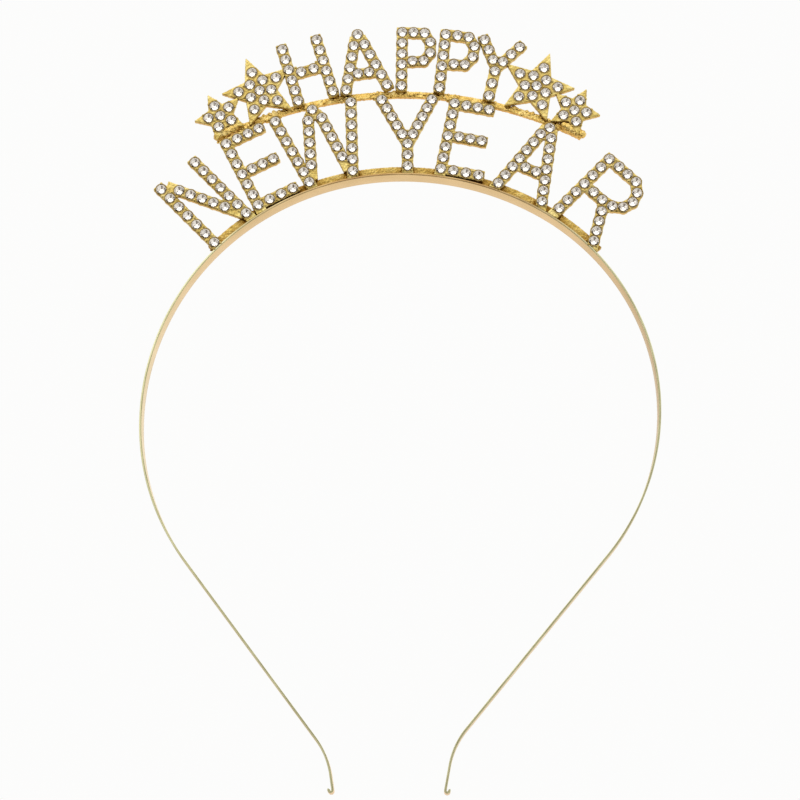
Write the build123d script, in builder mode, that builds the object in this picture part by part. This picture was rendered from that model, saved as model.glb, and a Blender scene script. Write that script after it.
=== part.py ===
from build123d import *
import os
from math import atan2, cos, degrees, hypot, radians, sin

os.makedirs("parts", exist_ok=True)

# A rhinestone tiara headband that spells a new year greeting. Millimetres and degrees.
# +Z is up as worn, the letters face -Y and +X is to the viewer's right. The origin is the
# middle of the strip's inner face at the top of the arch, where it rests on the head.

# ---- driving dimensions: the spring strip ----
STRIP_WIDTH = 5.0
STRIP_THICKNESS = 0.6
# A heading is how far the strip has turned from level, 0 at the top. Each half is a chain of
# bends, (radius to the middle of the thickness, heading where it ends), then a straight leg.
BENDS = {
    "left": ((67.3, 91.5), (62.1, 127.9)),
    "right": ((71.7, 29.5), (62.4, 128.7)),
}
CROWN_HEADING = 50.0  # the stiff stretch under the ornament ends here, each side of the top
FLEX_HEADING = 74.0  # the stretch that bends when the band is opened ends here
LEG_STRAIGHT = {"left": 56.2, "right": 56.8}
TIP_BEND_RADIUS = 20.0
TIP_HEADING = 99.5  # the last stretch stands nearly upright
TIP_STRAIGHT = {"left": 3.5, "right": 6.0}
CURL_RADIUS = 0.5  # the rolled end, to the middle of the strip
CURL_ANGLE = 220.0

# ---- driving dimensions: the ornament ----
PLATE_THICKNESS = 1.3  # every letter and star is a plate of this thickness
STROKE_WIDTH = 2.9
SETTING_RADIUS = 1.6  # the round rim of metal about each stone
CUP_RADIUS = 1.2
CUP_DEPTH = 0.8
FOOT_OVERRUN = 4.0  # metal below a foot stone, before it is cut to the strip's curve
BASE_RAIL_HEIGHT = 2.2
BASE_RAIL_ENDS = {"left": 48.0, "right": 47.5}
UPPER_RAIL_HEIGHT = 1.7
UPPER_RAIL_RADIUS = 101.4
UPPER_RAIL_DROP = 11.0  # its centre lies this far below the letters' centre
UPPER_RAIL_ENDS = (-29.8, 27.8)
RAIL_DEPTH = 1.3  # front to back

# ---- driving dimensions: the stones ----
GIRDLE_RADIUS = 1.38
GIRDLE_HEIGHT = 0.12
TABLE_RADIUS = 0.78
CROWN_HEIGHT = 0.5
PAVILION_RADIUS = 1.12  # where it enters the cup
CULET_RADIUS = 0.45

# ---- driving dimensions: the letters' rows and the stars ----
LAYOUT_RADIUS = 66.9  # the strip's top, from the centre that the letters are laid out about
LOWER_FOOT = 69.1  # the foot stones of the lower word, from the same centre
LOWER_TOP = 88.7
UPPER_FOOT = 92.3
UPPER_TOP = 108.0
LARGE_STAR_TIP = 10.3
LARGE_STAR_NOTCH = 4.7
LARGE_STAR_OUTER_RING = 5.7
LARGE_STAR_INNER_RING = 3.1
SMALL_STAR_TIP = 7.1
SMALL_STAR_NOTCH = 3.5
SMALL_STAR_RING = 3.25

# ---- worked out ----
CENTRE_Z = STRIP_THICKNESS / 2 - LAYOUT_RADIUS
SIDES = ((-1, "left"), (1, "right"))
PLATE_FRONT = -STRIP_WIDTH / 2
PLATE_BACK = PLATE_FRONT + PLATE_THICKNESS
HALF_STROKE = STROKE_WIDTH / 2


def arch_plane(y, turn=0.0, side=1):
    """A plane facing the viewer, its origin the letters' centre, its Y axis leaning `turn`.

    With side -1 it faces away, and its X axis runs to the left.
    """
    lean = radians(turn)
    return Plane(
        origin=(0, y, CENTRE_Z), x_dir=(side * cos(lean), 0, -sin(lean)), z_dir=(0, -side, 0)
    )


def write(built, label):
    """Labels a finished piece and writes its STEP."""
    built.part.label = label
    export_step(built.part, f"parts/{label}.step")


# ---- the band: one strip, in the stretches that keep their shape and those that bend ----
def bends(hand, start, end, offset=0.0):
    """Draws one half of the strip's line between two headings, `offset` outside its middle."""
    x, y = 0.0, LAYOUT_RADIUS
    last_radius = last_heading = 0.0
    for radius, heading in BENDS[hand]:
        # neighbouring bends share a tangent, so their centres lie on one line through it
        x += (last_radius - radius) * sin(radians(last_heading))
        y += (last_radius - radius) * cos(radians(last_heading))
        low, high = max(start, last_heading), min(end, heading)
        if low < high:
            arc = CenterArc((x, y), radius + offset, 90 - low, low - high)
        last_radius, last_heading = radius, heading
    return arc


def flex(side, hand):
    """The stretch between the crown and a leg."""
    with BuildPart() as stretch:
        with BuildSketch(arch_plane(0, 0, side)):
            with BuildLine():
                bends(hand, CROWN_HEADING, FLEX_HEADING)
            trace(line_width=STRIP_THICKNESS)
        extrude(amount=STRIP_WIDTH / 2, both=True)
    write(stretch, f"band_flex_{hand}")


def leg(side, hand):
    """A leg: the last of the bends, a straight run, the tip and its rolled end."""
    leg_heading = BENDS[hand][-1][1]
    with BuildPart() as strip:
        with BuildSketch(arch_plane(0, 0, side)):
            with BuildLine():
                bend = bends(hand, FLEX_HEADING, leg_heading)
                run = Line(bend @ 1, bend @ 1 + (bend % 1) * LEG_STRAIGHT[hand])
                tip = JernArc(run @ 1, run % 1, TIP_BEND_RADIUS, leg_heading - TIP_HEADING)
                end = Line(tip @ 1, tip @ 1 + (tip % 1) * TIP_STRAIGHT[hand])
                JernArc(end @ 1, end % 1, CURL_RADIUS, CURL_ANGLE)
            trace(line_width=STRIP_THICKNESS)
        extrude(amount=STRIP_WIDTH / 2, both=True)
    write(strip, f"band_leg_{hand}")


def over_the_top(y, ends, offset, thickness, depth):
    """Metal that follows both halves of the strip's line, up to a heading on each."""
    with BuildPart() as metal:
        for side, hand in SIDES:
            with BuildSketch(arch_plane(y, 0, side)):
                with BuildLine():
                    bends(hand, 0, ends[hand], offset)
                trace(line_width=thickness)
            extrude(amount=depth / 2, both=True)
    return metal


crown_ends = {hand: CROWN_HEADING for _, hand in SIDES}
write(over_the_top(0, crown_ends, 0, STRIP_THICKNESS, STRIP_WIDTH), "band_crown")
for side, hand in SIDES:
    flex(side, hand)
    leg(side, hand)


# ---- the two rails, which lie behind the letters ----
rail_y = PLATE_BACK + RAIL_DEPTH / 2
rail_offset = (STRIP_THICKNESS + BASE_RAIL_HEIGHT) / 2
base_rail = over_the_top(rail_y, BASE_RAIL_ENDS, rail_offset, BASE_RAIL_HEIGHT, RAIL_DEPTH)
write(base_rail, "base_rail")

with BuildPart() as upper_rail:
    with BuildSketch(arch_plane(PLATE_BACK + RAIL_DEPTH)):
        with BuildLine():
            left_end, right_end = UPPER_RAIL_ENDS
            CenterArc(
                (0, -UPPER_RAIL_DROP), UPPER_RAIL_RADIUS, 90 - right_end, right_end - left_end
            )
        trace(line_width=UPPER_RAIL_HEIGHT)
    extrude(amount=RAIL_DEPTH)
write(upper_rail, "upper_rail")


# ---- the space under the strip's outer face, which the letters' feet are cut to ----
with BuildPart() as under_band:
    for side, hand in SIDES:
        with BuildSketch(arch_plane(0, 0, side)):
            with BuildLine():
                outer = bends(hand, 0, FLEX_HEADING, STRIP_THICKNESS / 2)
                top = (0, LAYOUT_RADIUS + STRIP_THICKNESS / 2)
                Polyline(outer @ 1, (0, 0), top)
            make_face()
        extrude(amount=STRIP_WIDTH, both=True)


# ---- the stones: a table, a crown, a girdle and a pavilion that ends on the cup's floor ----
with BuildPart() as stone:
    with BuildSketch(Plane.XZ):
        with BuildLine():
            Polyline(
                (0, -CUP_DEPTH),
                (CULET_RADIUS, -CUP_DEPTH),
                (PAVILION_RADIUS, 0),
                (GIRDLE_RADIUS, 0),
                (GIRDLE_RADIUS, GIRDLE_HEIGHT),
                (TABLE_RADIUS, GIRDLE_HEIGHT + CROWN_HEIGHT),
                (0, GIRDLE_HEIGHT + CROWN_HEIGHT),
                close=True,
            )
        make_face()
    revolve(axis=Axis.Z)


def rhinestones(turn, centres, label):
    """One stone in each cup, its girdle on the plate's face."""
    face = arch_plane(PLATE_FRONT, turn)
    with BuildPart() as group:
        with Locations(*[face * Location((x, y, 0)) for x, y in centres]):
            add(stone.part)
    write(group, f"rhinestones_{label}")


# ---- the letters ----
def between(start, end, count):
    """Evenly spaced points from one end of a straight stroke to the other."""
    return [
        (
            start[0] + (end[0] - start[0]) * i / (count - 1),
            start[1] + (end[1] - start[1]) * i / (count - 1),
        )
        for i in range(count)
    ]


def round_bowl(centre, radius, start, end, count):
    """Points along an arc between two angles from the X axis."""
    angles = [radians(start + (end - start) * i / (count - 1)) for i in range(count)]
    return [(centre[0] + radius * cos(a), centre[1] + radius * sin(a)) for a in angles]


def stroke(points, before=HALF_STROKE, after=HALF_STROKE):
    """A stroke through its stones, and how far its metal runs past the first and the last."""
    return points, before, after


def row(start, end, count, before=HALF_STROKE, after=HALF_STROKE):
    """A straight stroke."""
    return stroke(between(start, end, count), before, after)


def stroke_metal(points, before, after):
    """The metal under one stroke: a bar between neighbouring stones, and a rim about each."""
    pairs = list(zip(points, points[1:]))
    for i, ((x0, y0), (x1, y1)) in enumerate(pairs):
        length = hypot(x1 - x0, y1 - y0)
        ux, uy = (x1 - x0) / length, (y1 - y0) / length
        lead = before if i == 0 else 0
        tail = after if i == len(pairs) - 1 else 0
        middle = (tail - lead) / 2
        with Locations(((x0 + x1) / 2 + ux * middle, (y0 + y1) / 2 + uy * middle)):
            Rectangle(length + lead + tail, STROKE_WIDTH, rotation=degrees(atan2(uy, ux)))
    with Locations(*points):
        Circle(SETTING_RADIUS)


def letter(label, turn, *strokes):
    """A letter plate with a blind cup for every stone, its feet cut to the strip's curve.

    Returns the plate as it is before its cups are sunk, for trimming a neighbour.
    """
    centres = [point for points, _, _ in strokes for point in points]
    with BuildPart() as plate:
        with BuildSketch(arch_plane(PLATE_BACK, turn)):
            for points, before, after in strokes:
                stroke_metal(points, before, after)
        extrude(amount=PLATE_THICKNESS)
        blank = plate.part
        with BuildSketch(arch_plane(PLATE_FRONT, turn)):
            with Locations(*centres):
                Circle(CUP_RADIUS)
        extrude(amount=-CUP_DEPTH, mode=Mode.SUBTRACT)
        add(under_band.part, mode=Mode.SUBTRACT)
    write(plate, label)
    rhinestones(turn, centres, label)
    return blank


def upper(x, height=0.0):
    """A point of the upper word: across, and how far up its six rows."""
    return x, UPPER_FOOT + (UPPER_TOP - UPPER_FOOT) * height / 5


def lower(x, height=0.0):
    """A point of the lower word: across, and how far up its seven rows."""
    return x, LOWER_FOOT + (LOWER_TOP - LOWER_FOOT) * height / 6


letter_h = letter(
    "happy_h",
    -17.6,
    row(upper(-1.2), upper(-1.2, 5), 6),
    row(upper(8.5), upper(8.5, 5), 6),
    row(upper(1.9, 2.5), upper(5.4, 2.5), 2, before=2.4, after=2.4),
)
letter(
    "happy_a",
    -9.0,
    row(upper(-1.75), upper(2.0, 4), 5, after=2.6),
    row(upper(9.35), upper(4.95, 4), 5, after=2.6),
    stroke([upper(3.45, 5)]),
    row(upper(2.05, 1.35), upper(5.05, 1.35), 2, before=2.2, after=2.2),
)
letter(
    "happy_p_first",
    0.0,
    row(upper(-1.3), upper(-1.3, 5), 6),
    stroke(
        [upper(1.75, 5), upper(4.75, 4.95), upper(6.35, 4.1), upper(6.35, 3.1)]
        + [upper(4.6, 2.35), upper(1.6, 2.3)],
        before=2.4,
        after=2.4,
    ),
)
letter(
    "happy_p_second",
    5.7,
    row(upper(-0.2), upper(-0.2, 5), 6),
    stroke(
        [upper(3.0, 5), upper(6.1, 4.95), upper(7.9, 4.15), upper(7.8, 3.15)]
        + [upper(5.9, 2.35), upper(2.9, 2.3)],
        before=2.4,
        after=2.4,
    ),
)
letter_y = letter(
    "happy_y",
    12.0,
    row(upper(-1.4, 5), upper(2.0, 3.35), 3, after=2.2),
    row(upper(8.3, 5), upper(4.8, 3.35), 3, after=2.2),
    row(upper(3.25), upper(3.25, 2.35), 3),
)
letter(
    "new_n",
    -45.0,
    row(lower(-2.2, -0.15), lower(-2.2, 6.25), 7, before=FOOT_OVERRUN),
    row(lower(1.0, 5.15), lower(6.6, 1.5), 5, before=3.6, after=5.4),
    row(lower(9.45, -0.1), lower(9.45, 6.05), 7, before=FOOT_OVERRUN),
)
letter(
    "new_e",
    -27.8,
    row(lower(-7.45), lower(-7.45, 6), 7, before=FOOT_OVERRUN),
    row(lower(-4.2, 6), lower(2.2, 6), 3, before=3.2),
    row(lower(-4.4, 3.05), lower(1.8, 3.05), 3, before=3.2),
    row(lower(-4.0), lower(2.8), 3, before=3.2),
)
letter(
    "new_w",
    -16.0,
    row(lower(-6.7, -0.1), lower(-11.2, 5.8), 7, before=FOOT_OVERRUN),
    stroke(
        between(lower(-5.0, 1.3), lower(-2.6, 5.15), 5)
        + [lower(-0.8, 6)]
        + between(lower(1.1, 5.1), lower(3.6, 1.35), 5),
        before=4.2,
        after=4.2,
    ),
    row(lower(5.3, -0.1), lower(9.8, 5.8), 7, before=FOOT_OVERRUN),
)
letter(
    "year_y",
    -1.0,
    row(lower(-5.0, 5.85), lower(0.5, 2.8), 5, after=2.4),
    row(lower(8.5, 5.85), lower(3.4, 2.8), 5, after=2.4),
    row(lower(1.95), lower(1.95, 1.95), 3, before=FOOT_OVERRUN),
)
letter(
    "year_e",
    10.4,
    row(lower(-2.85), lower(-2.85, 5.85), 7, before=FOOT_OVERRUN),
    row(lower(0.4, 5.85), lower(6.6, 5.85), 3, before=3.2),
    row(lower(0.2, 3.0), lower(6.3, 3.0), 3, before=3.2),
    row(lower(0.5), lower(7.3), 3, before=3.2),
)
letter(
    "year_a",
    23.5,
    row(lower(-2.8), lower(1.9, 5.35), 7, before=FOOT_OVERRUN, after=2.6),
    row(lower(9.8), lower(4.9, 5.35), 7, before=FOOT_OVERRUN, after=2.6),
    stroke([lower(3.4, 6.15)]),
    row(lower(2.0, 2.15), lower(5.1, 2.15), 2, before=2.2, after=2.2),
)
letter(
    "year_r",
    43.4,
    row(lower(-9.6, 0.3), lower(-9.6, 6.25), 7, before=FOOT_OVERRUN),
    stroke(
        between(lower(-6.2, 6.3), lower(-0.1, 6.3), 3)
        + round_bowl(lower(-1.6, 4.8), 4.8, 36, -70, 4)
        + between(lower(-3.1, 3.25), lower(-6.2, 3.25), 2),
        before=3.2,
        after=3.2,
    ),
    row(lower(3.2, 0.2), lower(-1.0, 2.5), 4, before=FOOT_OVERRUN, after=2.0),
)


# ---- the stars, which stand on the upper rail by their two lower points ----
def star(label, turn, height, tip, notch, rings, neighbours=()):
    """A five-pointed plate with a centre stone and rings of five, trimmed to its neighbours.

    An arm's tip that would show past a neighbour goes with the trimming.
    """
    points = [
        ((tip if i % 2 == 0 else notch), radians(90 + 36 * i)) for i in range(10)
    ]
    outline = [(r * cos(a), height + r * sin(a)) for r, a in points]
    centres = [(0, height)]
    for radius, first in rings:
        angles = [radians(first + 72 * i) for i in range(5)]
        centres += [(radius * cos(a), height + radius * sin(a)) for a in angles]
    with BuildPart() as plate:
        with BuildSketch(arch_plane(PLATE_BACK, turn)):
            with BuildLine():
                Polyline(*outline, close=True)
            make_face()
        extrude(amount=PLATE_THICKNESS)
        with BuildSketch(arch_plane(PLATE_FRONT, turn)):
            with Locations(*centres):
                Circle(CUP_RADIUS)
        extrude(amount=-CUP_DEPTH, mode=Mode.SUBTRACT)
        for neighbour in neighbours:
            add(neighbour, mode=Mode.SUBTRACT)
        add(plate.solids().sort_by(SortBy.VOLUME)[-1], mode=Mode.REPLACE)
    write(plate, label)
    rhinestones(turn, centres, label)
    return plate.part


LARGE_RINGS = ((LARGE_STAR_OUTER_RING, 90), (LARGE_STAR_INNER_RING, 54))
SMALL_RINGS = ((SMALL_STAR_RING, 90),)
large_left = star(
    "star_large_left", -23.6, 98.8, LARGE_STAR_TIP, LARGE_STAR_NOTCH, LARGE_RINGS, [letter_h]
)
large_right = star(
    "star_large_right", 20.8, 99.0, LARGE_STAR_TIP, LARGE_STAR_NOTCH, LARGE_RINGS, [letter_y]
)
star("star_small_left", -31.0, 96.9, SMALL_STAR_TIP, SMALL_STAR_NOTCH, SMALL_RINGS, [large_left])
star("star_small_right", 27.9, 96.8, SMALL_STAR_TIP, SMALL_STAR_NOTCH, SMALL_RINGS, [large_right])
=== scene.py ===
from math import atan2, cos, degrees, hypot, pi, radians, sin

import bmesh
import bpy
import numpy as np
from mathutils import Matrix, Vector, noise


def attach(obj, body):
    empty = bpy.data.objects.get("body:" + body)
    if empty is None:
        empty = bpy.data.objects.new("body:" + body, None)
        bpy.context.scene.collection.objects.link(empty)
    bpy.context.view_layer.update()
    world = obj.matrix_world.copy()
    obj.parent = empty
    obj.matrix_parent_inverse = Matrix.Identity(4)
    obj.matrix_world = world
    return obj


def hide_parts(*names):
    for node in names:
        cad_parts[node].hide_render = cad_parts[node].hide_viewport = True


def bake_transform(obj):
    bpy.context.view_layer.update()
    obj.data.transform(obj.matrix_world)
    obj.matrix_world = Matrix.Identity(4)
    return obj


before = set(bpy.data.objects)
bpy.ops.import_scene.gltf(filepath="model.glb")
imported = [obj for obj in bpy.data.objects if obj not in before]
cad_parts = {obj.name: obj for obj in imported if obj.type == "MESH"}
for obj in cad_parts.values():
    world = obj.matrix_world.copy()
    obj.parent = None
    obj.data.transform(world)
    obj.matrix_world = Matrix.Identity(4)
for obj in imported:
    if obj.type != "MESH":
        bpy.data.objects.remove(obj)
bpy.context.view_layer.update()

# The looks of a rhinestone tiara headband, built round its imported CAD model. Metres, +Z up as
# worn, the letters facing -Y. The origin is the strip's inner face at the top of the arch.

MM = 0.001

# ---- the band ----
STRIP_WIDTH = 5.0 * MM
STRIP_THICKNESS = 0.6 * MM
STRIP_EDGE_RADIUS = 0.09 * MM
# A heading is how far the strip has turned from level, in degrees. Each half is a chain of
# bends, (radius to the middle of the thickness, heading where it ends), then a straight leg.
BENDS = {
    "left": ((67.3 * MM, 91.5), (62.1 * MM, 127.9)),
    "right": ((71.7 * MM, 29.5), (62.4 * MM, 128.7)),
}
CROWN_HEADING = 50.0  # the legs' pieces start here
FLEX_HEADING = 74.0  # and past here they are stiff
LEG_STRAIGHT = {"left": 56.2 * MM, "right": 56.8 * MM}
TIP_BEND_RADIUS = 20.0 * MM
TIP_HEADING = 99.5
TIP_STRAIGHT = {"left": 3.5 * MM, "right": 6.0 * MM}
CURL_RADIUS = 0.5 * MM
CURL_ANGLE = 220.0
STATION_STEP = 1.0 * MM  # between the sweep's sections along a run
STATION_TURN = 1.0  # the most degrees that one section turns from the last
CURL_TURN = 12.0  # and the same round the curl at a tip
BROWNER_LOW, BROWNER_HIGH = -24 * MM, -2 * MM  # the gold turns browner between these heights

# ---- the rails and the castings ----
LAYOUT_RADIUS = 66.9 * MM  # the strip's top, from the centre the letters are laid out about
LAYOUT_CENTRE = Vector((0, 0, STRIP_THICKNESS / 2 - LAYOUT_RADIUS))
BASE_RAIL_ENDS = (-50, 50)
BASE_RAIL_LINE = 0.9 * MM  # its middle, above the strip
UPPER_RAIL_RADIUS = 101.4 * MM
UPPER_RAIL_CENTRE = LAYOUT_CENTRE - Vector((0, 0, 11.0 * MM))
UPPER_RAIL_ENDS = (-29.8, 27.8)
UPPER_RAIL_SPREAD = 1.3 * MM  # its granules are scattered this far up and down
PLATE_FRONT = -STRIP_WIDTH / 2
PLATE_BACK = PLATE_FRONT + 1.3 * MM
RAIL_DEPTH = 1.3 * MM
WELD = 0.001 * MM
VOXEL = 0.13 * MM
BEAD_RADIUS = 0.33 * MM
BEAD_OFFSET = 1.0 * MM  # from the line between two stones
BEAD_SINK = 0.02 * MM  # a bead's middle, behind the plate's face
BEAD_CLEARANCE = 0.02 * MM  # a bead's middle, from the nearest girdle
BEAD_SPACING = 1.3 * BEAD_RADIUS
NEIGHBOUR = 3.6 * MM  # stones nearer than this share a pair of beads
END_BEAD_TURNS = (-42, 42)  # the two beads past the last stone of a stroke, in degrees
END_BEAD_REACH = 1.66  # and in millimetres from its middle
RIM_RADIUS = 1.5 * MM
RIM_HEIGHT = 0.1 * MM
RIM_SPREAD = 0.14 * MM
CUP_EDGE = 0.1 * MM  # further inside a girdle than this there is no grain and no swell
FACE_DEPTH = 0.2 * MM  # what is this near a plate's front is its face
REAR_DEPTH = 0.3 * MM  # and this near its back, its rear
GRAIN_LEAST = 0.4  # the grain's share beside a girdle
GRAIN_REACH = 0.6 * MM  # how far from a girdle it is whole again
# The painted shade round each stone: the most it darkens, its strength at the girdle before that cap,
# and the distance over which it fades by one.
RIM_SHADE_MOST = 0.7
RIM_SHADE_START = 1.1
RIM_SHADE_REACH = 0.3 * MM
SWELL = 0.07 * MM  # the plating and the cast edges' roundness make a stroke this much fuller
GRAIN_SIZE = 0.45 * MM
PLATE_GRAIN = 0.09 * MM
RAIL_GRAIN = 0.13 * MM
SOLDER_REACH = 3.4 * MM  # a stone this near a rail's line stands on a soldered foot
SOLDER_LEAST, SOLDER_MOST = 0.35 * MM, 0.85 * MM
SOLDER_OFFSET = 1.5 * MM  # from a foot's middle to a lump's, less half the lump's radius
SOLDER_TOWARD = 0.3  # a lump's share of the way from the rail's line to the stone
RUN_OVER = ((0.2, 1.2), (1.6, 1.5), (3.1, 1.55), (4.5, 1.4), (5.4, 1.1))  # mm along, mm radius
RUN_OVER_RISE = 0.45 * MM  # above the rail's line
RUN_OVER_SLOPE = 0.075 * MM  # each millimetre along brings a lump this much further forward
GRANULE_STEP = 0.9 * MM
GRANULE_LEAST, GRANULE_MOST = 0.35 * MM, 0.75 * MM
GRANULE_DEPTH = 0.25 * MM  # a granule's middle, behind the plates' backs
CHANCE_CELL = 0.37 * MM  # places in one cell this big get the same chance

# ---- the stones ----
GIRDLE_RADIUS = 1.44 * MM
GIRDLE_HEIGHT = 0.12 * MM
TABLE_RADIUS = 0.82 * MM
CROWN_HEIGHT = 0.5 * MM
SHOULDER_RADIUS = 1.14 * MM  # where the star and kite facets meet
SHOULDER_HEIGHT = GIRDLE_HEIGHT + 0.27 * MM
CULET_DEPTH = 0.5 * MM
PAVILION_RADIUS = 0.42 * MM
PAVILION_DEPTH = 0.68 * CULET_DEPTH
STONE_LEAN = 5  # the most that a stone sits out of true, in degrees each way

WORDS = (
    "happy_h happy_a happy_p_first happy_p_second happy_y new_n new_e new_w "
    "year_y year_e year_a year_r"
).split()
STARS = "star_large_left star_large_right star_small_left star_small_right".split()


# ---- node trees ----
def material(name):
    """A new material, its tree, and its one Principled shader."""
    made = bpy.data.materials.new(name)
    made.use_nodes = True
    return made, made.node_tree, made.node_tree.nodes["Principled BSDF"]


def add_node(tree, kind, inputs=(), **settings):
    """A node with its settings, and each named input linked to a socket or set to a value."""
    node = tree.nodes.new(kind)
    for key, value in settings.items():
        setattr(node, key, value)
    for key, value in dict(inputs).items():
        if isinstance(value, bpy.types.NodeSocket):
            tree.links.new(value, node.inputs[key])
        else:
            node.inputs[key].default_value = value
    return node


def noise_of(tree, vector, size, detail, roughness=0.55):
    """Noise with features of about this size, in metres, as a socket."""
    inputs = {"Vector": vector, "Scale": 1 / size, "Detail": detail, "Roughness": roughness}
    return add_node(tree, "ShaderNodeTexNoise", inputs).outputs["Fac"]


def ramp(tree, factor, *stops):
    """A colour ramp over (position, colour) stops."""
    node = add_node(tree, "ShaderNodeValToRGB", {"Fac": factor})
    elements = node.color_ramp.elements
    while len(elements) < len(stops):
        elements.new(0.5)
    for element, (position, colour) in zip(elements, stops):
        element.position = position
        element.color = (*colour, 1)
    return node.outputs["Color"]


def spread(tree, factor, low, high, from_low=0.0, from_high=1.0):
    """A factor's range mapped to another, and kept inside it."""
    inputs = {"Value": factor, "From Min": from_low, "From Max": from_high}
    inputs |= {"To Min": low, "To Max": high}
    return add_node(tree, "ShaderNodeMapRange", inputs).outputs["Result"]


def blend_colours(tree, factor, first, second, mode="MIX"):
    """Two colours mixed, each a socket or an (r, g, b): a factor of 0 gives the first."""
    node = add_node(tree, "ShaderNodeMix", data_type="RGBA", blend_type=mode)
    node.clamp_factor = True
    for index, value in ((0, factor), (6, first), (7, second)):
        if isinstance(value, bpy.types.NodeSocket):
            tree.links.new(value, node.inputs[index])
        else:
            node.inputs[index].default_value = (*value, 1) if index else value
    return node.outputs[2]


def bump(tree, height, distance, under=None):
    """A bump of this height in metres, laid over another normal if there is one."""
    node = add_node(tree, "ShaderNodeBump", {"Height": height, "Distance": distance})
    if under is not None:
        tree.links.new(under, node.inputs["Normal"])
    return node.outputs["Normal"]


# ---- materials ----
def strip_gold():
    """Rolled strip, plated gold and polished: pale on the legs, browner on the crown, and pinkish
    inside, a painted reflection of the gold across the arch.

    Fine lines run along it.
    """
    made, tree, shader = material("strip_gold")
    along = add_node(tree, "ShaderNodeUVMap", uv_map="along").outputs["UV"]
    place = add_node(tree, "ShaderNodeNewGeometry").outputs["Position"]
    drawn = add_node(
        tree, "ShaderNodeMapping", {"Vector": along, "Scale": (0.02, 1, 1)}
    ).outputs["Vector"]
    lines = noise_of(tree, drawn, 0.12 * MM, detail=4)
    patches = noise_of(tree, place, 9 * MM, detail=2)
    inside = add_node(tree, "ShaderNodeAttribute", attribute_name="inside").outputs["Fac"]
    height = add_node(tree, "ShaderNodeSeparateXYZ", {"Vector": place}).outputs["Z"]
    on_top = spread(tree, height, 0.0, 1.0, BROWNER_LOW, BROWNER_HIGH)
    pale = ramp(tree, patches, (0.3, (0.55, 0.53, 0.31)), (0.7, (0.66, 0.64, 0.40)))
    # browner toward the top of the arch than lower down, set by height alone
    browner_top = ramp(tree, patches, (0.3, (0.36, 0.21, 0.08)), (0.7, (0.58, 0.40, 0.18)))
    # painted reflection: the inner face is tinted pinker, in place of the gold across the arch that it
    # would reflect
    rosy_reflection = ramp(tree, patches, (0.3, (0.66, 0.58, 0.33)), (0.7, (0.74, 0.65, 0.39)))
    tone = blend_colours(tree, inside, blend_colours(tree, on_top, pale, browner_top), rosy_reflection)
    streak = spread(tree, lines, 0.93, 1.0, 0.3, 0.6)
    colour = blend_colours(tree, 1.0, tone, streak, mode="MULTIPLY")
    tree.links.new(colour, shader.inputs["Base Color"])
    tree.links.new(spread(tree, lines, 0.16, 0.34, 0.3, 0.7), shader.inputs["Roughness"])
    shader.inputs["Metallic"].default_value = 1.0
    waves = bump(tree, patches, 0.05 * MM)
    tree.links.new(bump(tree, lines, 0.004 * MM, under=waves), shader.inputs["Normal"])
    return made


def cast_gold(name, grain, relief, tones, dark, hollow_size, open_from):
    """Cast and plated gold: grainy, with painted shade in its hollows and in the rim round each stone.

    `hollow_size` is how far a hollow's walls are looked for, and `open_from` is the share of
    sky below which a hollow is at its darkest.
    """
    made, tree, shader = material(name)
    place = add_node(tree, "ShaderNodeNewGeometry").outputs["Position"]
    fine = noise_of(tree, place, grain, detail=5, roughness=0.65)
    coarse = noise_of(tree, place, 1.6 * MM, detail=2)
    hollow = add_node(
        tree, "ShaderNodeAmbientOcclusion", {"Distance": hollow_size}, samples=8
    ).outputs["AO"]
    body = ramp(tree, coarse, *zip((0.3, 0.5, 0.7), tones))
    grainy = spread(tree, fine, 0.7, 1.06, 0.32, 0.62)
    body = blend_colours(tree, 1.0, body, grainy, mode="MULTIPLY")
    # painted shade: beside each stone the gold is darkened, in place of the shadow in the gap round the
    # stone
    rim = add_node(tree, "ShaderNodeAttribute", attribute_name="rim").outputs["Fac"]
    body = blend_colours(tree, rim, body, dark)
    # painted shade: in hollows, found by ambient occlusion, the gold turns to the dark colour
    colour = blend_colours(tree, spread(tree, hollow, 0.0, 1.0, open_from, open_from + 0.55), dark, body)
    tree.links.new(colour, shader.inputs["Base Color"])
    tree.links.new(spread(tree, fine, 0.46, 0.26, 0.3, 0.7), shader.inputs["Roughness"])
    shader.inputs["Metallic"].default_value = 1.0
    waves = bump(tree, coarse, 0.16 * MM)
    tree.links.new(bump(tree, fine, relief, under=waves), shader.inputs["Normal"])
    return made


def crystal():
    """Clear glass with a little dust on it."""
    made, tree, shader = material("crystal")
    place = add_node(tree, "ShaderNodeNewGeometry").outputs["Position"]
    dust = noise_of(tree, place, 0.5 * MM, detail=4)
    tint = ramp(tree, dust, (0.4, (1.0, 1.0, 1.0)), (0.7, (0.97, 0.98, 0.99)))
    tree.links.new(tint, shader.inputs["Base Color"])
    tree.links.new(spread(tree, dust, 0.0, 0.03, 0.5, 0.7), shader.inputs["Roughness"])
    shader.inputs["Transmission Weight"].default_value = 1.0
    shader.inputs["IOR"].default_value = 1.54
    return made


def foil():
    """The silvered back of a rhinestone, seen through its glass."""
    made, tree, shader = material("foil")
    place = add_node(tree, "ShaderNodeNewGeometry").outputs["Position"]
    specks = noise_of(tree, place, 0.25 * MM, detail=3)
    tone = ramp(tree, specks, (0.35, (0.92, 0.87, 0.80)), (0.6, (1.0, 0.97, 0.93)))
    tree.links.new(tone, shader.inputs["Base Color"])
    tree.links.new(spread(tree, specks, 0.02, 0.1, 0.4, 0.7), shader.inputs["Roughness"])
    shader.inputs["Metallic"].default_value = 1.0
    return made


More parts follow.
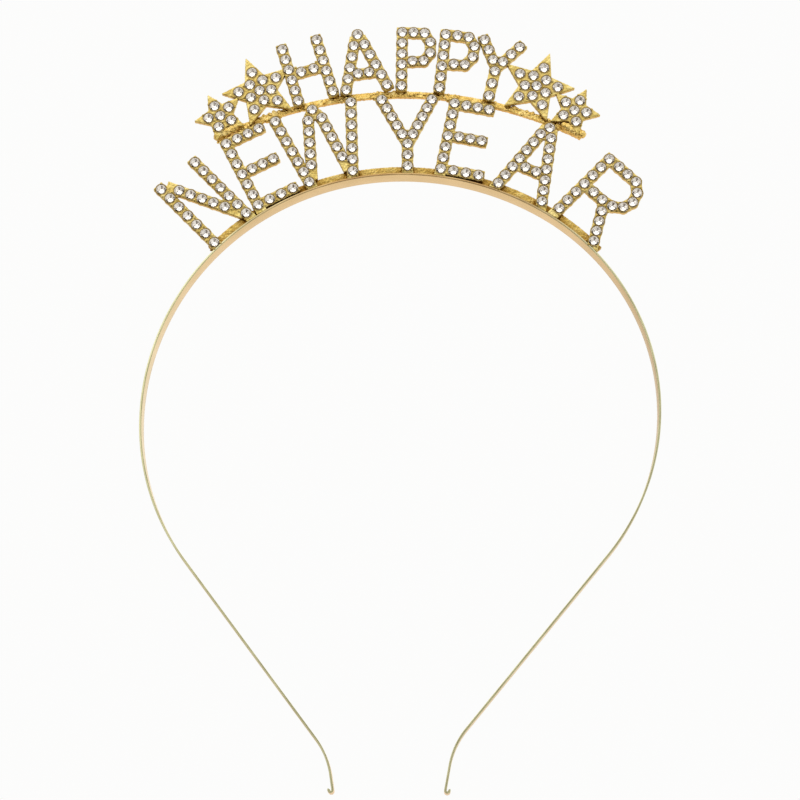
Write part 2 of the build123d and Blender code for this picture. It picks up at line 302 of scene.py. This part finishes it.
def paper():
    """The pale floor."""
    made, tree, shader = material("paper")
    place = add_node(tree, "ShaderNodeNewGeometry").outputs["Position"]
    fibre = noise_of(tree, place, 0.8 * MM, detail=3)
    tone = ramp(tree, fibre, (0.3, (0.86, 0.86, 0.855)), (0.7, (0.88, 0.88, 0.875)))
    tree.links.new(tone, shader.inputs["Base Color"])
    shader.inputs["Roughness"].default_value = 0.85
    return made


STRIP_GOLD = strip_gold()
CAST_GOLD = cast_gold(
    "cast_gold",
    grain=0.22 * MM,
    relief=0.07 * MM,
    tones=((0.56, 0.40, 0.11), (0.70, 0.54, 0.17), (0.84, 0.69, 0.29)),
    # the colour of the painted shade in hollows and beside the stones
    dark=(0.20, 0.12, 0.03),
    hollow_size=0.9 * MM,
    open_from=0.35,
)
BASE_GOLD = cast_gold(
    "base_gold",
    grain=0.30 * MM,
    relief=0.06 * MM,
    tones=((0.49, 0.31, 0.07), (0.62, 0.44, 0.12), (0.74, 0.56, 0.20)),
    # the colour of the painted shade in the base rail's hollows, where it meets the strip and the
    # letters
    dark=(0.24, 0.11, 0.01),
    hollow_size=2.2 * MM,
    open_from=0.42,
)
RAIL_GOLD = cast_gold(
    "rail_gold",
    grain=0.35 * MM,
    relief=0.12 * MM,
    tones=((0.68, 0.44, 0.11), (0.84, 0.59, 0.17), (0.94, 0.73, 0.29)),
    # the orange-brown of the painted shade along the upper rail, strongest on its underside
    dark=(0.60, 0.32, 0.08),
    hollow_size=0.9 * MM,
    open_from=0.0,
)
CRYSTAL = crystal()
FOIL = foil()


# ---- mesh helpers ----
def new_piece(name, mesh, *materials):
    """An object in the scene with this mesh and these materials."""
    for slot in materials:
        mesh.materials.append(slot)
    piece = bpy.data.objects.new(name, mesh)
    bpy.context.scene.collection.objects.link(piece)
    return piece


def rounded_rectangle(width, height, radius, steps=4):
    """A closed outline, anticlockwise, with its four corners rounded."""
    outline = []
    for corner, (sx, sy) in enumerate(((1, 1), (-1, 1), (-1, -1), (1, -1))):
        for i in range(steps + 1):
            angle = radians(90 * (corner + i / steps))
            x = sx * (width / 2 - radius) + radius * cos(angle)
            y = sy * (height / 2 - radius) + radius * sin(angle)
            outline.append((x, y))
    return outline


def face_outwards(mesh):
    """Turns every face of a mesh to look outwards."""
    work = bmesh.new()
    work.from_mesh(mesh)
    bmesh.ops.recalc_face_normals(work, faces=work.faces)
    work.to_mesh(mesh)
    work.free()


def sweep(name, stations, outline, inner):
    """A closed tube of this outline through stations, each an origin, an across and a side axis.

    Its UV map "along" is in metres: the length run, and the way round the outline. Its
    attribute "inside" is 1 on the outline points that are less than `inner` across.
    """
    rings = [
        [origin + across * a + side * b for a, b in outline] for origin, across, side in stations
    ]
    count = len(outline)
    run = [0.0]
    for (before, _, _), (after, _, _) in zip(stations, stations[1:]):
        run.append(run[-1] + (after - before).length)
    round_it = [0.0]
    for (a0, b0), (a1, b1) in zip(outline, outline[1:] + outline[:1]):
        round_it.append(round_it[-1] + hypot(a1 - a0, b1 - b0))
    faces, uvs = [], []
    for i in range(len(rings) - 1):
        for j in range(count):
            k = (j + 1) % count
            faces.append((i * count + j, i * count + k, (i + 1) * count + k, (i + 1) * count + j))
            low, high = round_it[j], round_it[j + 1]
            uvs += [(run[i], low), (run[i], high), (run[i + 1], high), (run[i + 1], low)]
    last = (len(rings) - 1) * count
    for cap, at in (([*range(count)][::-1], run[0]), ([last + j for j in range(count)], run[-1])):
        faces.append(tuple(cap))
        uvs += [(at, round_it[j % count]) for j in cap]
    mesh = bpy.data.meshes.new(name)
    mesh.from_pydata([tuple(p) for ring in rings for p in ring], [], faces)
    layer = mesh.uv_layers.new(name="along")
    layer.data.foreach_set("uv", np.array(uvs, np.float32).ravel())
    marks = mesh.attributes.new("inside", "FLOAT", "POINT")
    picked = [1.0 if a < inner else 0.0 for a, _ in outline]
    marks.data.foreach_set("value", np.array(picked * len(rings), np.float32))
    mesh.polygons.foreach_set("use_smooth", [True] * (len(faces) - 2) + [False] * 2)
    rims = {
        tuple(sorted((base + j, base + (j + 1) % count))) for base in (0, last) for j in range(count)
    }
    sharp = [tuple(sorted(edge.vertices)) in rims for edge in mesh.edges]
    mesh.attributes.new("sharp_edge", "BOOLEAN", "EDGE").data.foreach_set("value", sharp)
    mesh.update()
    face_outwards(mesh)
    return mesh


# ---- the band ----
def run_straight(path, length):
    """Adds a straight run to a path of (x, z, heading), the heading clockwise from +X."""
    x, z, heading = path[-1]
    steps = max(1, round(length / STATION_STEP))
    for i in range(1, steps + 1):
        d = length * i / steps
        path.append((x + d * cos(radians(heading)), z - d * sin(radians(heading)), heading))


def run_arc(path, radius, turn, finest=STATION_TURN):
    """Adds an arc to a path: a positive turn is clockwise."""
    x, z, heading = path[-1]
    hand = 1 if turn > 0 else -1
    centre_x = x - hand * radius * sin(radians(heading))
    centre_z = z - hand * radius * cos(radians(heading))
    steps = max(1, round(abs(turn) / finest))
    for i in range(1, steps + 1):
        now = heading + turn * i / steps
        path.append(
            (
                centre_x + hand * radius * sin(radians(now)),
                centre_z + hand * radius * cos(radians(now)),
                now,
            )
        )


def run_bends(path, hand, end):
    """Carries a path on round the strip's own bends, as far as a heading."""
    for radius, heading in BENDS[hand]:
        turn = min(end, heading) - path[-1][2]
        if turn > 0:
            run_arc(path, radius, turn)


def strip_stations(path, side):
    """Sweep stations from a path drawn for the right side; side -1 mirrors it."""
    stations = []
    for x, z, heading in path:
        out = Vector((side * sin(radians(heading)), 0, cos(radians(heading))))
        stations.append((Vector((side * x, 0, z)), out, Vector((0, -side, 0))))
    return stations


def band():
    """The strip in three pieces that meet end to end: the crown and the two legs."""
    outline = rounded_rectangle(STRIP_THICKNESS, STRIP_WIDTH, STRIP_EDGE_RADIUS)
    inner = -STRIP_THICKNESS / 2 + STRIP_EDGE_RADIUS / 4
    halves = {}
    for hand in BENDS:
        halves[hand] = [(0, STRIP_THICKNESS / 2, 0)]
        run_bends(halves[hand], hand, CROWN_HEADING)
    path = [(-x, z, -heading) for x, z, heading in reversed(halves["left"])] + halves["right"][1:]
    mesh = sweep("strip_crown", strip_stations(path, 1), outline, inner)
    crown = new_piece("strip_crown", mesh, STRIP_GOLD)
    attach(crown, "crown")
    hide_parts("band_crown")
    for side, hand in ((-1, "left"), (1, "right")):
        path = halves[hand][-1:]
        run_bends(path, hand, FLEX_HEADING)
        run_bends(path, hand, BENDS[hand][-1][1])
        run_straight(path, LEG_STRAIGHT[hand])
        run_arc(path, TIP_BEND_RADIUS, TIP_HEADING - path[-1][2])
        run_straight(path, TIP_STRAIGHT[hand])
        run_arc(path, CURL_RADIUS, -CURL_ANGLE, finest=CURL_TURN)
        mesh = sweep(f"strip_leg_{hand}", strip_stations(path, side), outline, inner)
        leg = new_piece(f"strip_leg_{hand}", mesh, STRIP_GOLD)
        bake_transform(leg)
        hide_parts(f"band_flex_{hand}", f"band_leg_{hand}")


band()


# ---- the castings ----
def welded(node):
    """A CAD node's mesh, its doubled points made one, to work on and free."""
    work = bmesh.new()
    work.from_mesh(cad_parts[node].data)
    bmesh.ops.remove_doubles(work, verts=work.verts, dist=WELD)
    return work


def islands(node):
    """The middle of each separate solid of a CAD node."""
    work = welded(node)
    left, middles = set(work.verts), []
    while left:
        reached, edge = set(), [left.pop()]
        while edge:
            vertex = edge.pop()
            reached.add(vertex)
            for link in vertex.link_edges:
                other = link.other_vert(vertex)
                if other in left:
                    left.discard(other)
                    edge.append(other)
        low = Vector(map(min, zip(*(v.co for v in reached))))
        high = Vector(map(max, zip(*(v.co for v in reached))))
        middles.append((low + high) / 2)
    work.free()
    return sorted(middles, key=lambda p: (round(p.x, 6), round(p.z, 6)))


def bead_places(stones):
    """Where the little beads that hold the stones stand, as points in X and Z."""
    flat = [Vector((p.x, p.z)) for p in stones]
    wanted = []
    for i, here in enumerate(flat):
        near = [p for j, p in enumerate(flat) if j != i and (p - here).length < NEIGHBOUR]
        for other in near:
            line = (other - here).normalized()
            middle = (here + other) / 2
            aside = line.orthogonal() * BEAD_OFFSET
            wanted += [middle + aside, middle - aside]
        if len(near) == 1:
            away = (here - near[0]).normalized()
            for turn in END_BEAD_TURNS:
                wanted.append(here + Matrix.Rotation(radians(turn), 2) @ away * END_BEAD_REACH * MM)
    kept = []
    for place in wanted:
        clear = all((place - p).length > GIRDLE_RADIUS + BEAD_CLEARANCE for p in flat)
        alone = all((place - p).length > BEAD_SPACING for p in kept)
        if clear and alone:
            kept.append(place)
    return kept


def apply_modifiers(piece):
    """The mesh as its modifiers leave it, in a new mesh; the piece is removed."""
    evaluated = piece.evaluated_get(bpy.context.evaluated_depsgraph_get())
    mesh = bpy.data.meshes.new_from_object(evaluated)
    bpy.data.objects.remove(piece)
    return mesh


def cast(node, lumps, stones, grain, finish):
    """A cast piece: its CAD shape and these lumps run together, softened, with grain on it.

    Each lump is (place, radius), a ball that is partly sunk in the metal.
    """
    work = welded(node)
    for place, radius in lumps:
        at = Matrix.Translation(place)
        bmesh.ops.create_icosphere(work, subdivisions=2, radius=radius, matrix=at)
    rough = bpy.data.meshes.new(node + "_rough")
    work.to_mesh(rough)
    work.free()
    draft = new_piece(node + "_draft", rough)
    remesh = draft.modifiers.new("remesh", "REMESH")
    remesh.mode = "VOXEL"
    remesh.voxel_size = VOXEL
    soften = draft.modifiers.new("soften", "SMOOTH")
    soften.factor = 0.5
    soften.iterations = 2
    mesh = apply_modifiers(draft)
    roughen(mesh, stones, grain)
    mesh.polygons.foreach_set("use_smooth", [True] * len(mesh.polygons))
    mesh.update()
    mesh.materials.clear()
    piece = new_piece("cast_" + node, mesh, finish)
    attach(piece, "crown")
    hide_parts(node)


def roughen(mesh, stones, grain):
    """Moves the surface by a fine grain, most where no stone is near, and raises a rim round each.

    Its attribute "rim" is high beside a stone, where the gold is darkened as painted shade.
    """
    count = len(mesh.vertices)
    co = np.zeros(count * 3)
    normal = np.zeros(count * 3)
    mesh.vertices.foreach_get("co", co)
    mesh.vertex_normals.foreach_get("vector", normal)
    co, normal = co.reshape(-1, 3), normal.reshape(-1, 3)
    lift = np.array([noise.noise(Vector(p) / GRAIN_SIZE) for p in co]) * grain
    if stones:
        centres = np.array([(p.x, p.z) for p in stones])
        off = np.linalg.norm(co[:, None, [0, 2]] - centres[None], axis=2).min(axis=1)
        facing = np.clip(-normal[:, 1], 0, 1) * (co[:, 1] < PLATE_FRONT + FACE_DEPTH)
        rear = co[:, 1] > PLATE_BACK - REAR_DEPTH
        bare = np.clip((off - GIRDLE_RADIUS) / GRAIN_REACH, GRAIN_LEAST, 1)
        lift = (lift * bare + SWELL) * (rear | (off > GIRDLE_RADIUS - CUP_EDGE))
        lift += RIM_HEIGHT * np.exp(-(((off - RIM_RADIUS) / RIM_SPREAD) ** 2)) * facing
        # painted shade round each stone: the gold darkens toward its girdle, in place of the shadow in
        # the gap between stone and cup
        rim_shade = RIM_SHADE_START - (off - GIRDLE_RADIUS) / RIM_SHADE_REACH
        rim_shade = np.clip(rim_shade, 0, RIM_SHADE_MOST) * facing
        mesh.attributes.new("rim", "FLOAT", "POINT").data.foreach_set("value", rim_shade)
    co += normal * lift[:, None]
    mesh.vertices.foreach_set("co", co.ravel())


def chance(place, salt):
    """A number from 0 to 1 that always comes out the same for a place."""
    return 0.5 + 0.5 * noise.cell(Vector(place) / CHANCE_CELL + Vector((salt, 0, 0)))


def beads(stones):
    """A bead's ball for each of its places on a plate's face."""
    return [(Vector((p.x, PLATE_FRONT + BEAD_SINK, p.y)), BEAD_RADIUS) for p in bead_places(stones)]


def solder(stones, centre, radius, ends):
    """Lumps of solder beside each foot or top that meets a rail between its two ends."""
    lumps = []
    for stone in stones:
        arm = Vector((stone.x, 0, stone.z)) - centre
        angle = degrees(atan2(arm.x, arm.z))
        if abs(arm.length - radius) > SOLDER_REACH or not ends[0] < angle < ends[1]:
            continue
        out = arm.normalized()
        along = Vector((out.z, 0, -out.x))
        for side in (-1, 1):
            size = SOLDER_LEAST + (SOLDER_MOST - SOLDER_LEAST) * chance(stone, side)
            shift = SOLDER_OFFSET + 0.5 * size
            reach = radius + SOLDER_TOWARD * (arm.length - radius)
            place = centre + out * reach + along * side * shift
            place.y = PLATE_BACK + RAIL_DEPTH / 3
            lumps.append((place, size))
    return lumps


def run_over(centre, radius, end, side):
    """Solder that has run forward over a rail's end and the lowest arm of the star there."""
    lumps = []
    for step, size in RUN_OVER:
        angle = radians(end) + side * step * MM / radius
        place = centre + Vector((sin(angle), 0, cos(angle))) * (radius + RUN_OVER_RISE)
        place.y = PLATE_FRONT + size * MM - RUN_OVER_SLOPE * step
        lumps.append((place, size * MM))
    return lumps


def granules(centre, radius, ends, depth):
    """The uneven skin of a rail: small lumps all along it, on its front and its two edges."""
    lumps = []
    steps = round(radius * radians(ends[1] - ends[0]) / GRANULE_STEP)
    for i in range(steps + 1):
        angle = radians(ends[0] + (ends[1] - ends[0]) * i / steps)
        out = Vector((sin(angle), 0, cos(angle)))
        on_line = centre + out * radius
        up = (chance(on_line, 3) - 0.5) * depth
        size = GRANULE_LEAST + (GRANULE_MOST - GRANULE_LEAST) * chance(on_line, 5)
        lumps.append((on_line + out * up + Vector((0, PLATE_BACK + GRANULE_DEPTH, 0)), size))
    return lumps


# ---- the stones ----
def ring(radius, height, count, first=0.0):
    """Points round a stone's axis, at this height above the girdle's foot."""
    angles = [first + 2 * pi * i / count for i in range(count)]
    return [Vector((radius * cos(angle), radius * sin(angle), height)) for angle in angles]


def cut_stone():
    """One stone as (points, faces, glass face count).

    The glass is the table and the star and kite facets. The girdle and all below it are foil.
    """
    table = ring(TABLE_RADIUS, GIRDLE_HEIGHT + CROWN_HEIGHT, 8)
    shoulder = ring(SHOULDER_RADIUS, SHOULDER_HEIGHT, 8, pi / 8)
    girdle = ring(GIRDLE_RADIUS, GIRDLE_HEIGHT, 16)
    foot = ring(GIRDLE_RADIUS, 0, 16)
    lower = ring(PAVILION_RADIUS, -PAVILION_DEPTH, 8, pi / 8)
    culet = [Vector((0, 0, -CULET_DEPTH))]
    points = table + shoulder + girdle + foot + lower + culet
    t, s, g, f, w, c = 0, 8, 16, 32, 48, 56
    faces = [tuple(range(8))]
    for i in range(8):
        j, back = (i + 1) % 8, (i - 1) % 8
        first, middle, last = 2 * i, 2 * i + 1, (2 * i + 2) % 16
        faces.append((t + i, s + i, t + j))
        faces.append((t + i, s + back, g + first, s + i))
        faces.append((s + i, g + first, g + middle))
        faces.append((s + i, g + middle, g + last))
    glass = len(faces)
    for i in range(16):
        j = (i + 1) % 16
        faces.append((g + i, f + i, f + j, g + j))
    for i in range(8):
        j, back = (i + 1) % 8, (i - 1) % 8
        first, middle, last = 2 * i, 2 * i + 1, (2 * i + 2) % 16
        faces.append((f + first, w + i, f + middle))
        faces.append((f + middle, w + i, f + last))
        faces.append((f + first, w + back, c, w + i))
    return points, faces, glass


def rhinestones(node, stones):
    """A faceted stone in every cup, each turned its own way and seated a touch unevenly."""
    points, faces, glass = cut_stone()
    toward_viewer = Matrix.Rotation(pi / 2, 4, "X")
    verts, polys, slots = [], [], []
    for stone in stones:
        seed = Vector((stone.x, 0, stone.z)) / MM
        turn = Matrix.Rotation(pi * noise.noise(seed * 0.9), 4, "Z")
        tilt = Matrix.Rotation(radians(STONE_LEAN) * noise.noise(seed * 1.3 + Vector((9, 0, 0))), 4, "X")
        lean = Matrix.Rotation(radians(STONE_LEAN) * noise.noise(seed * 1.7 + Vector((0, 9, 0))), 4, "Y")
        place = Matrix.Translation((stone.x, PLATE_FRONT, stone.z)) @ toward_viewer @ lean @ tilt @ turn
        base = len(verts)
        verts += [tuple(place @ p) for p in points]
        polys += [tuple(base + i for i in face) for face in faces]
        slots += [0] * glass + [1] * (len(faces) - glass)
    mesh = bpy.data.meshes.new("stones_" + node)
    mesh.from_pydata(verts, [], polys)
    mesh.update()
    piece = new_piece("stones_" + node, mesh, CRYSTAL, FOIL)
    mesh.polygons.foreach_set("material_index", slots)
    face_outwards(mesh)
    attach(piece, "crown")
    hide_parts("rhinestones_" + node)


stones_of = {node: islands("rhinestones_" + node) for node in WORDS + STARS}
for node, stones in stones_of.items():
    cast(node, beads(stones), stones, PLATE_GRAIN, CAST_GOLD)
    rhinestones(node, stones)

every_stone = [stone for stones in stones_of.values() for stone in stones]
base_line = (LAYOUT_CENTRE, LAYOUT_RADIUS + STRIP_THICKNESS / 2 + BASE_RAIL_LINE, BASE_RAIL_ENDS)
upper_line = (UPPER_RAIL_CENTRE, UPPER_RAIL_RADIUS, UPPER_RAIL_ENDS)
base_lumps = solder(every_stone, *base_line)
upper_lumps = solder(every_stone, *upper_line) + granules(*upper_line, UPPER_RAIL_SPREAD)
for side, end in ((1, UPPER_RAIL_ENDS[0]), (-1, UPPER_RAIL_ENDS[1])):
    upper_lumps += run_over(UPPER_RAIL_CENTRE, UPPER_RAIL_RADIUS, end, side)
cast("base_rail", base_lumps, [], PLATE_GRAIN, BASE_GOLD)
cast("upper_rail", upper_lumps, [], RAIL_GRAIN, RAIL_GOLD)


# ---- stage, light and camera ----
# The band hangs in the air as worn, and the camera looks up at it from just above the floor.
FLOOR_HEIGHT = -0.222
FLOOR_REACH = 20
CAMERA_LENS = 95.19
CAMERA_DISTANCE = 0.55
CAMERA_AZIMUTH = 1.2
CAMERA_ELEVATION = -15.5
CAMERA_ROLL = 1.0
AIM = Vector((-0.24 * MM, 0, -61.62 * MM))

# Each patch of the world is a direction, the degrees from it where the patch is whole and where it
# has faded out, and the colour that it lays over the ones before. The viewer's side is the dim one.
BACKDROP = (0.975, 0.975, 0.97)
SKY_BEHIND = (1.32, 1.31, 1.28)
SKY_IN_FRONT = ((0, -1, 0.1), 75, 115, (0.78, 0.76, 0.72))
GLOOM_BEHIND = ((-0.5, 0.85, 0.05), 12, 42, (0.3, 0.26, 0.2))
GLOW_BEHIND = ((0.3, 0.8, 0.5), 12, 40, (1.2, 1.17, 1.12))
SKY_ABOVE = ((0, -0.4, 1), 30, 80, (1.38, 1.36, 1.32))
LAMP_ABOVE = ((0, -0.4, 1), 30, 80, (1.8, 1.78, 1.74))
LAMP_OVERHEAD = ((0, -0.5, 0.85), 24, 46, (2.6, 2.57, 2.52))
WARM_UNDER = ((0, 0.9, -0.45), 20, 60, (1.08, 0.86, 0.70))
DARK_BELOW = ((-0.38, -0.33, -0.8), 28, 48, (0.07, 0.04, 0.025))
DARK_VIEWER = ((0.05, -1, 0.2), 3, 12, (0.15, 0.13, 0.12))
LAMP_SHARE = 0.5  # how much of the two lamps is mixed in for light that has gone through glass

floor_mesh = bpy.data.meshes.new("floor")
corners = [(x * FLOOR_REACH, y * FLOOR_REACH, 0) for x, y in ((-1, -1), (1, -1), (1, 1), (-1, 1))]
floor_mesh.from_pydata(corners, [], [(0, 1, 2, 3)])
floor = new_piece("floor", floor_mesh, paper())
floor.location.z = FLOOR_HEIGHT
floor.visible_glossy = False
floor.visible_transmission = False


def lobe(tree, direction, axis, whole, gone):
    """1 near an axis, falling to 0 as the direction leaves it: angles in degrees."""
    dot = add_node(tree, "ShaderNodeVectorMath", operation="DOT_PRODUCT")
    tree.links.new(direction, dot.inputs[0])
    dot.inputs[1].default_value = Vector(axis).normalized()
    edges = {"From Min": cos(radians(gone)), "From Max": cos(radians(whole))}
    node = add_node(
        tree,
        "ShaderNodeMapRange",
        {"Value": dot.outputs["Value"], **edges},
        interpolation_type="SMOOTHSTEP",
    )
    return node.outputs["Result"]


def studio():
    """Even white to look at, and to reflect a bright tent with dark and bright patches."""
    world = bpy.data.worlds.new("studio")
    bpy.context.scene.world = world
    world.use_nodes = True
    tree = world.node_tree
    direction = add_node(tree, "ShaderNodeTexCoord").outputs["Generated"]

    def lay(under, axis, whole, gone, colour):
        return blend_colours(tree, lobe(tree, direction, axis, whole, gone), under, colour)

    tent = lay(SKY_BEHIND, *SKY_IN_FRONT)
    tent = lay(tent, *GLOOM_BEHIND)
    tent = lay(tent, *GLOW_BEHIND)
    # Only light that has gone through glass sees the two lamps: polished gold that reflects
    # them turns plain white, and from behind it seems to be missing.
    path = add_node(tree, "ShaderNodeLightPath").outputs
    depths = {0: path["Transmission Depth"], 1: LAMP_SHARE}
    share = add_node(tree, "ShaderNodeMath", depths, operation="MINIMUM").outputs["Value"]
    lamps = lay(lay(tent, *LAMP_ABOVE), *LAMP_OVERHEAD)
    tent = blend_colours(tree, share, lay(tent, *SKY_ABOVE), lamps)
    for patch in (WARM_UNDER, DARK_BELOW, DARK_VIEWER):
        tent = lay(tent, *patch)
    colour = blend_colours(tree, path["Is Camera Ray"], tent, BACKDROP)
    tree.links.new(colour, tree.nodes["Background"].inputs["Color"])


def area_light(name, place, size, power):
    """A soft square lamp that faces the ornament."""
    data = bpy.data.lights.new(name, "AREA")
    data.size = size
    data.energy = power
    lamp = bpy.data.objects.new(name, data)
    lamp.location = place
    lamp.rotation_euler = (AIM - Vector(place)).to_track_quat("-Z", "Y").to_euler()
    bpy.context.scene.collection.objects.link(lamp)


def camera():
    """Looks up at the band from below and a little to its right, at the framing's own tilt."""
    azimuth, elevation = radians(CAMERA_AZIMUTH), radians(CAMERA_ELEVATION)
    back = Vector((sin(azimuth) * cos(elevation), -cos(azimuth) * cos(elevation), sin(elevation)))
    data = bpy.data.cameras.new("camera")
    data.lens = CAMERA_LENS
    data.clip_start = 0.01
    seat = bpy.data.objects.new("camera", data)
    seat.location = AIM + back * CAMERA_DISTANCE
    turned = (-back).to_track_quat("-Z", "Y").to_matrix() @ Matrix.Rotation(radians(CAMERA_ROLL), 3, "Z")
    seat.rotation_euler = turned.to_euler()
    bpy.context.scene.collection.objects.link(seat)
    bpy.context.scene.camera = seat


studio()
area_light("key", place=(-0.5, -0.6, 0.6), size=1.2, power=2)
camera()
bpy.context.scene.view_settings.view_transform = "Standard"
